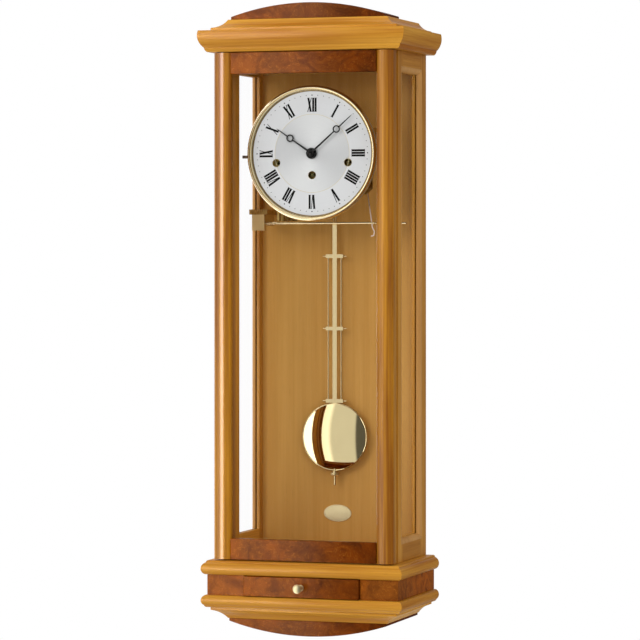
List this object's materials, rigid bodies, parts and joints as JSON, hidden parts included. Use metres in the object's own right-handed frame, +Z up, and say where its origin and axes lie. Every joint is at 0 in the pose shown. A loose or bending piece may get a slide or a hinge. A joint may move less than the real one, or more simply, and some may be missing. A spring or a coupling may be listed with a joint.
{
  "type": "regulator clock",
  "caption": "Glazed wooden wall regulator clock with columned door, arched pediments, key drawer, round Roman dial, chime rods and a brass grid pendulum.",
  "frame": {"origin": "centre of the hanger hole on the wall plane", "axes": "+X to the viewer's right, +Y into the wall, +Z up; the clock faces -Y"},
  "size_m": [0.292, 0.194, 0.8545],
  "materials": {
    "oak": "satin honey lacquer",
    "burl": "gloss lacquered burl veneer",
    "plain_wood": "satin lacquer",
    "back_veneer": "satin lacquered veneer",
    "pane": "clear polished",
    "polished_brass": "polished and lacquered",
    "movement_brass": "satin",
    "steel": "satin",
    "silvered_dial": "silvered, fine brushing in the centre",
    "black_hands": "black gloss",
    "grey_lever": "satin"
  },
  "bodies": {
    "case": {"top_pediment": "burl", "cap_moulding": "oak", "crown_moulding": "oak", "case_boards": "plain_wood", "side_stiles": "oak", "side_rails": "oak", "window_mouldings": "oak", "side_glass": "pane", "door_jambs": "plain_wood", "back_panel": "back_veneer", "hanger_plate": "steel", "wood_screws": "steel", "base_moulding": "oak", "frieze_boards": "burl", "lower_moulding": "oak", "lower_cove": "oak", "bottom_pediment": "burl", "badge": "polished_brass", "case_hinge_leaves": "polished_brass", "catch_magnets": "steel", "movement_brackets": "movement_brass", "front_plate": "movement_brass", "back_plate": "movement_brass", "plate_pillars": "movement_brass", "dial": "silvered_dial", "bezel": "polished_brass", "suspension_cock": "movement_brass", "gong_block": "movement_brass", "chime_rods": "movement_brass", "hammer_frame": "steel", "release_wire": "steel"},
    "door": {"door_columns": "oak", "door_rails": "burl", "door_glass": "pane", "glazing_beads": "plain_wood", "door_hinge_leaves": "polished_brass", "catch_plates": "steel"},
    "drawer": {"drawer_front": "burl", "drawer_box": "plain_wood", "drawer_knob": "polished_brass"},
    "minute": {"centre_arbor": "movement_brass", "minute_hand": "black_hands", "hand_nut": "polished_brass"},
    "minute_wheel": {"minute_wheel": "movement_brass"},
    "hour": {"hour_wheel": "movement_brass", "hour_hand": "black_hands"},
    "going_barrel": {"going_barrel": "movement_brass"},
    "strike_barrel": {"strike_barrel": "movement_brass"},
    "chime_barrel": {"chime_barrel": "movement_brass"},
    "going_winder": {"going_winder": "steel"},
    "strike_winder": {"strike_winder": "steel"},
    "chime_winder": {"chime_winder": "steel"},
    "escape_wheel": {"escape_wheel": "movement_brass"},
    "anchor": {"anchor": "steel"},
    "silent_lever": {"silent_lever": "grey_lever"},
    "hammers": {"hammers": "movement_brass"},
    "pendulum": {"pendulum_leader": "polished_brass", "pendulum_rods": "polished_brass", "bob": "polished_brass"},
    "rating_nut": {"rating_nut": "polished_brass"}
  },
  "joints": [
    {"name": "door_hinge", "type": "hinge", "parent": "case", "child": "door", "pos_m": [-0.1295, -0.15, 0], "axis": [0, 0, -1], "range_deg": [0, 110]},
    {"name": "drawer_slide", "type": "slide", "parent": "case", "child": "drawer", "axis": [0, -1, 0], "range_m": [0, 0.09]},
    {"name": "minute_hand_turn", "type": "hinge", "parent": "case", "child": "minute", "pos_m": [0, -0.1265, -0.0915], "axis": [0, 1, 0], "continuous": true},
    {"name": "minute_wheel_turn", "type": "hinge", "parent": "case", "child": "minute_wheel", "pos_m": [0.007, -0.1165, -0.07938], "axis": [0, 1, 0], "continuous": true},
    {"name": "hour_hand_turn", "type": "hinge", "parent": "case", "child": "hour", "pos_m": [0, -0.1215, -0.0915], "axis": [0, 1, 0], "continuous": true},
    {"name": "going_barrel_turn", "type": "hinge", "parent": "case", "child": "going_barrel", "pos_m": [0, -0.09, -0.121], "axis": [0, 1, 0], "continuous": true},
    {"name": "strike_barrel_turn", "type": "hinge", "parent": "case", "child": "strike_barrel", "pos_m": [-0.051, -0.09, -0.1042], "axis": [0, 1, 0], "continuous": true},
    {"name": "chime_barrel_turn", "type": "hinge", "parent": "case", "child": "chime_barrel", "pos_m": [0.051, -0.09, -0.1042], "axis": [0, 1, 0], "continuous": true},
    {"name": "going_winding", "type": "hinge", "parent": "case", "child": "going_winder", "pos_m": [0, -0.1, -0.121], "axis": [0, 1, 0], "continuous": true},
    {"name": "strike_winding", "type": "hinge", "parent": "case", "child": "strike_winder", "pos_m": [-0.051, -0.1, -0.1042], "axis": [0, 1, 0], "continuous": true},
    {"name": "chime_winding", "type": "hinge", "parent": "case", "child": "chime_winder", "pos_m": [0.051, -0.1, -0.1042], "axis": [0, 1, 0], "continuous": true},
    {"name": "escape_wheel_turn", "type": "hinge", "parent": "case", "child": "escape_wheel", "pos_m": [0, -0.08, -0.0745], "axis": [0, 1, 0], "continuous": true},
    {"name": "pendulum_swing", "type": "hinge", "parent": "case", "child": "pendulum", "pos_m": [0, -0.027, -0.0555], "axis": [0, 1, 0], "range_deg": [-3, 3]},
    {"name": "anchor_rock", "type": "hinge", "parent": "case", "child": "anchor", "pos_m": [0, -0.08, -0.0555], "axis": [0, 1, 0], "range_deg": [-3, 3]},
    {"name": "silent_lever_turn", "type": "hinge", "parent": "case", "child": "silent_lever", "pos_m": [-0.06, -0.1195, -0.0955], "axis": [0, 1, 0], "range_deg": [0, 8]},
    {"name": "hammer_lift", "type": "hinge", "parent": "case", "child": "hammers", "pos_m": [-0.02, -0.06, -0.154], "axis": [0, 1, 0], "range_deg": [0, 12]},
    {"name": "rating_nut_turn", "type": "hinge", "parent": "pendulum", "child": "rating_nut", "pos_m": [0, -0.027, -0.531], "axis": [0, 0, 1], "continuous": true}
  ],
  "couplings": [
    {"joint": "minute_wheel_turn", "follows": "minute_hand_turn", "ratio": -0.33333},
    {"joint": "hour_hand_turn", "follows": "minute_hand_turn", "ratio": 0.083333},
    {"joint": "going_barrel_turn", "follows": "minute_hand_turn", "ratio": -0.16667},
    {"joint": "anchor_rock", "follows": "pendulum_swing", "ratio": 1}
  ]
}
